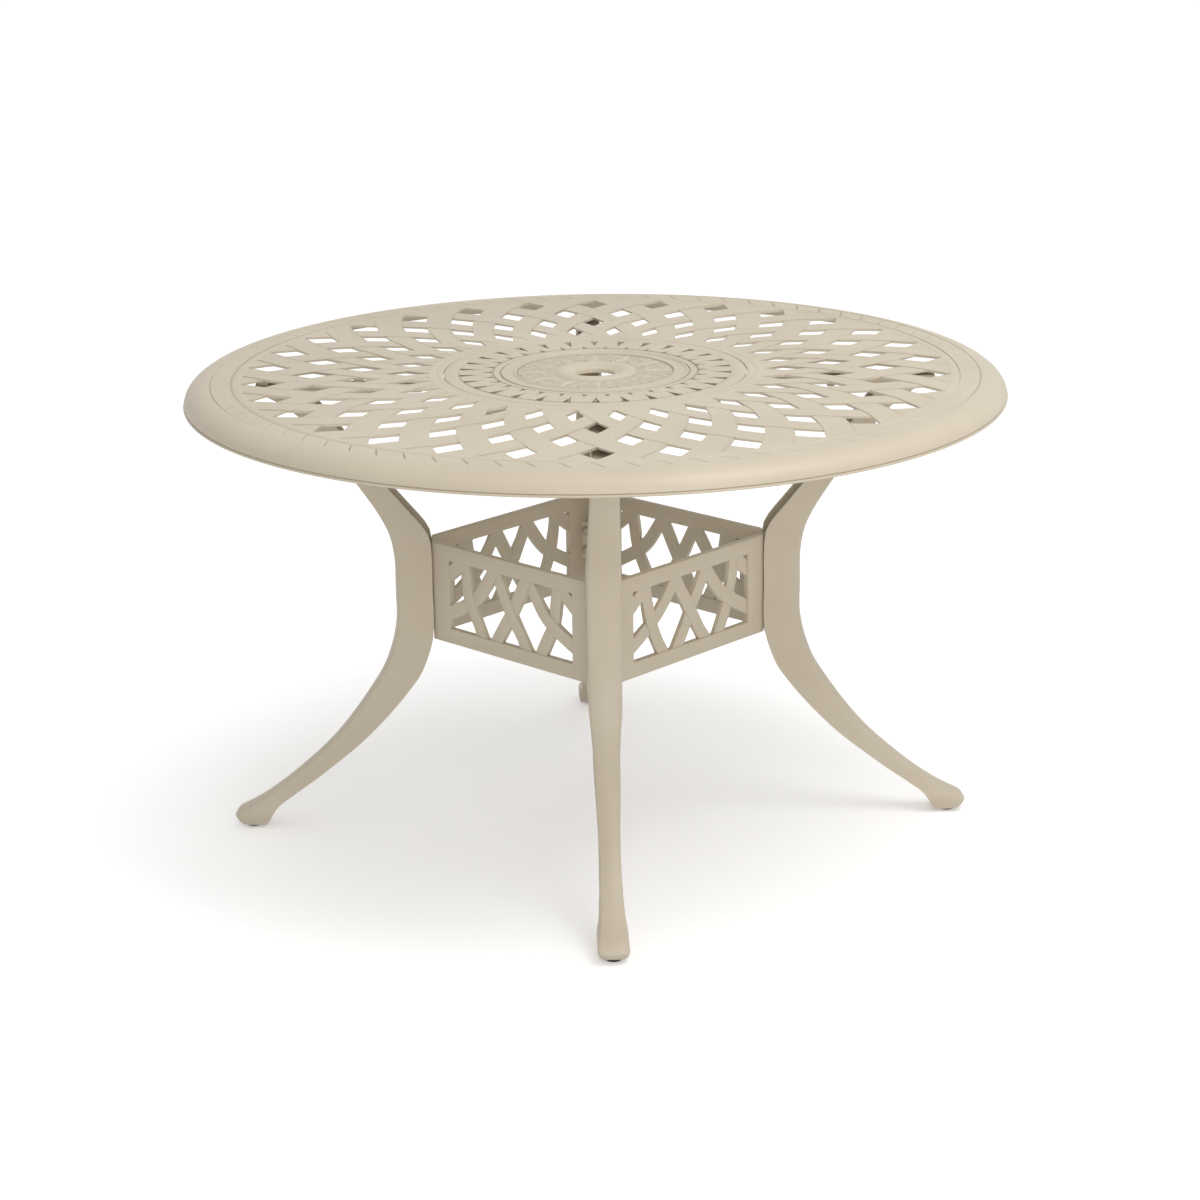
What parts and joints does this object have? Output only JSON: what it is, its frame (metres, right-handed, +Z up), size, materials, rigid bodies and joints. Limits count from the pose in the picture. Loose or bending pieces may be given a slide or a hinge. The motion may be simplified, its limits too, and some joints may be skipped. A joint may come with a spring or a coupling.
{
  "type": "patio table",
  "caption": "Round cast patio table with a woven lattice top, an inlaid turning lazy Susan with an umbrella hole, and curved legs tied together by lattice panels.",
  "frame": {"origin": "on the floor under the middle of the top", "axes": "+Z up; -Y points to the front leg and +X to the right leg, as the picture shows the table"},
  "size_m": [1.2198, 1.22, 0.7125],
  "materials": {
    "cast_top": "satin",
    "cast_disc": "satin",
    "cast_bracket": "satin",
    "cast_legs": "satin",
    "cast_panels": "satin",
    "nylon_pads": "satin",
    "nylon_glides": "matte"
  },
  "bodies": {
    "table": {"table_top": "cast_top", "susan_bracket": "cast_bracket", "susan_pads": "nylon_pads", "leg_front": "cast_legs", "leg_right": "cast_legs", "leg_back": "cast_legs", "leg_left": "cast_legs", "panel_front_right": "cast_panels", "panel_back_right": "cast_panels", "panel_back_left": "cast_panels", "panel_front_left": "cast_panels", "foot_glides": "nylon_glides"},
    "lazy_susan": {"lazy_susan_disc": "cast_disc"}
  },
  "joints": [
    {"name": "lazy_susan_turn", "type": "hinge", "parent": "table", "child": "lazy_susan", "pos_m": [0, 0, 0.7028], "axis": [0, 0, 1], "continuous": true}
  ]
}
